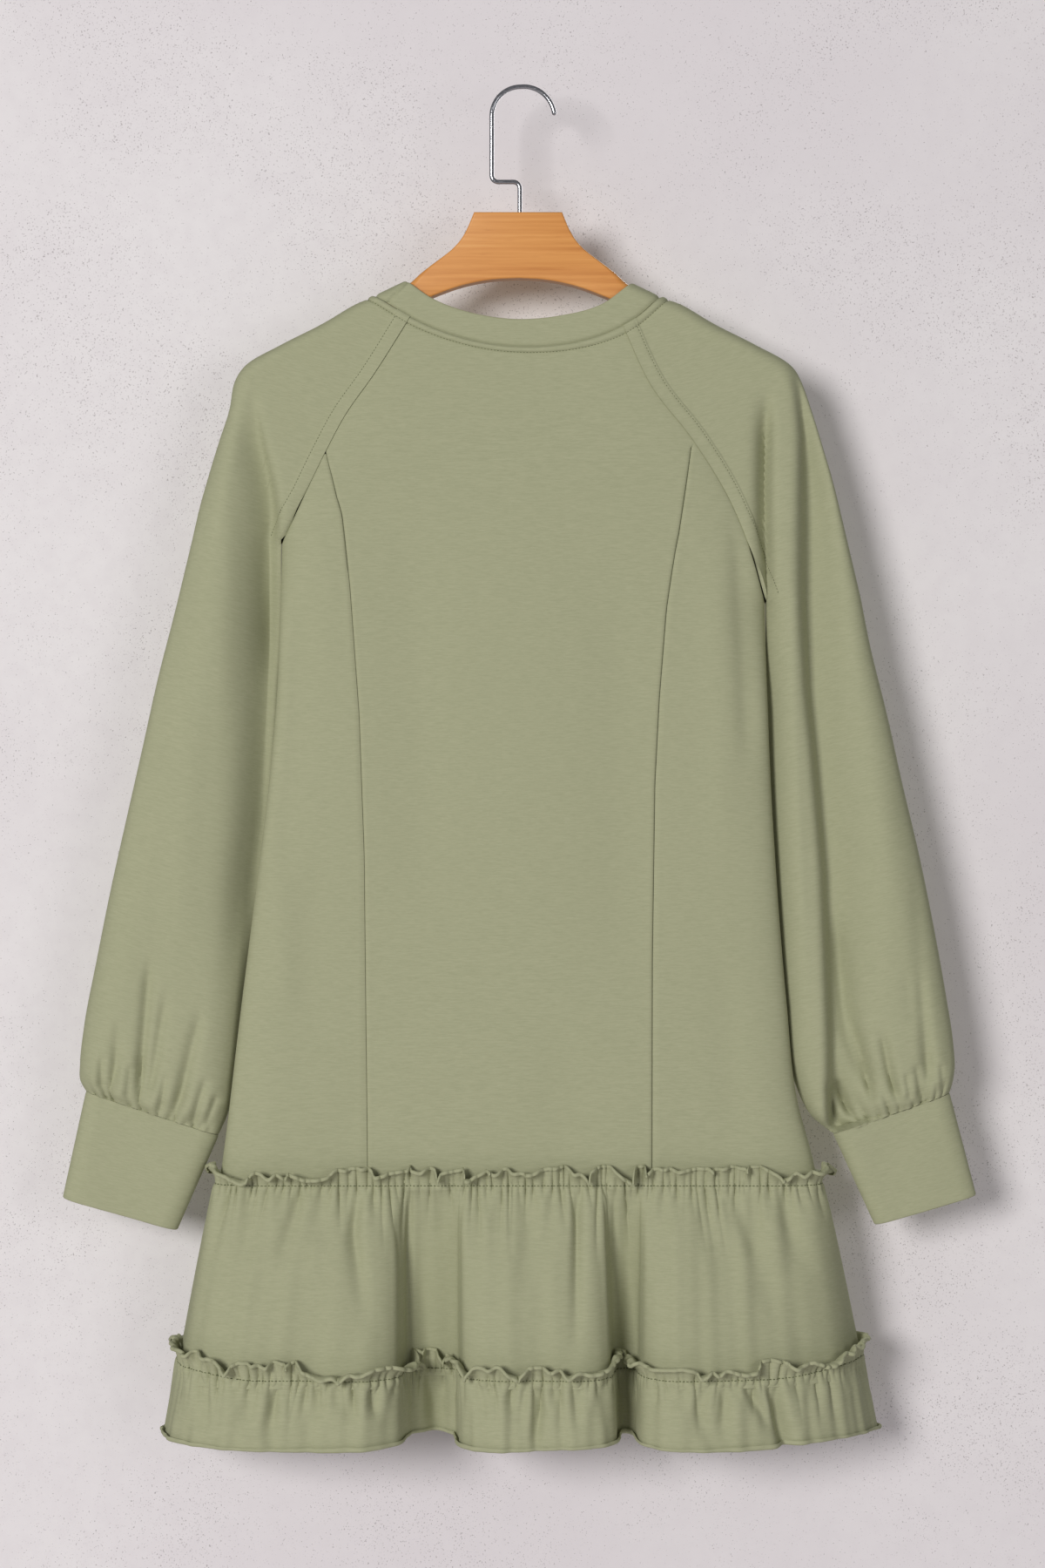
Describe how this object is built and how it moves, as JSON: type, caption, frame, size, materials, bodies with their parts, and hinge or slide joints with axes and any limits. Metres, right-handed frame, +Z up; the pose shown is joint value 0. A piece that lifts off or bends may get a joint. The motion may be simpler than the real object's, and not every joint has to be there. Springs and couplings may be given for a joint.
{
  "type": "ruffled mini dress on a wooden hanger",
  "caption": "Long-sleeved jersey mini dress with raglan sleeves, princess seams, full sleeves in cuffs and a skirt of ruffled tiers, hung on a flat wooden hanger with a wire hook.",
  "frame": {"origin": "inside the crown of the hanger's hook, where it rests on the nail or rail that carries it", "axes": "+Z up, -Y towards the viewer of the picture, who sees the back of the dress, +X to that viewer's right"},
  "size_m": [0.7028, 0.1301, 1.0347],
  "materials": {
    "jersey_back_center": "heathered sage cotton jersey",
    "jersey_back_side_left": "heathered sage cotton jersey",
    "jersey_back_side_right": "heathered sage cotton jersey",
    "jersey_front_panel": "heathered sage cotton jersey",
    "jersey_neckband": "heathered sage cotton jersey, doubled",
    "jersey_sleeve_left": "heathered sage cotton jersey",
    "jersey_sleeve_right": "heathered sage cotton jersey",
    "jersey_cuff_left": "heathered sage cotton jersey, doubled",
    "jersey_cuff_right": "heathered sage cotton jersey, doubled",
    "jersey_tier_upper_back": "heathered sage cotton jersey with a rolled raw edge",
    "jersey_tier_upper_front": "heathered sage cotton jersey with a rolled raw edge",
    "jersey_tier_lower_back": "heathered sage cotton jersey with a rolled raw edge",
    "jersey_tier_lower_front": "heathered sage cotton jersey with a rolled raw edge",
    "varnished_wood": "light orange wood under a satin varnish",
    "chrome_wire": "bright plated wire"
  },
  "bodies": {
    "root": {"back_center": "jersey_back_center", "back_side_left": "jersey_back_side_left", "back_side_right": "jersey_back_side_right", "front_panel": "jersey_front_panel", "neckband": "jersey_neckband", "sleeve_left": "jersey_sleeve_left", "sleeve_right": "jersey_sleeve_right", "cuff_left": "jersey_cuff_left", "cuff_right": "jersey_cuff_right", "tier_upper_back": "jersey_tier_upper_back", "tier_upper_front": "jersey_tier_upper_front", "tier_lower_back": "jersey_tier_lower_back", "tier_lower_front": "jersey_tier_lower_front", "hanger_wood": "varnished_wood", "hanger_hook": "chrome_wire"}
  },
  "joints": []
}
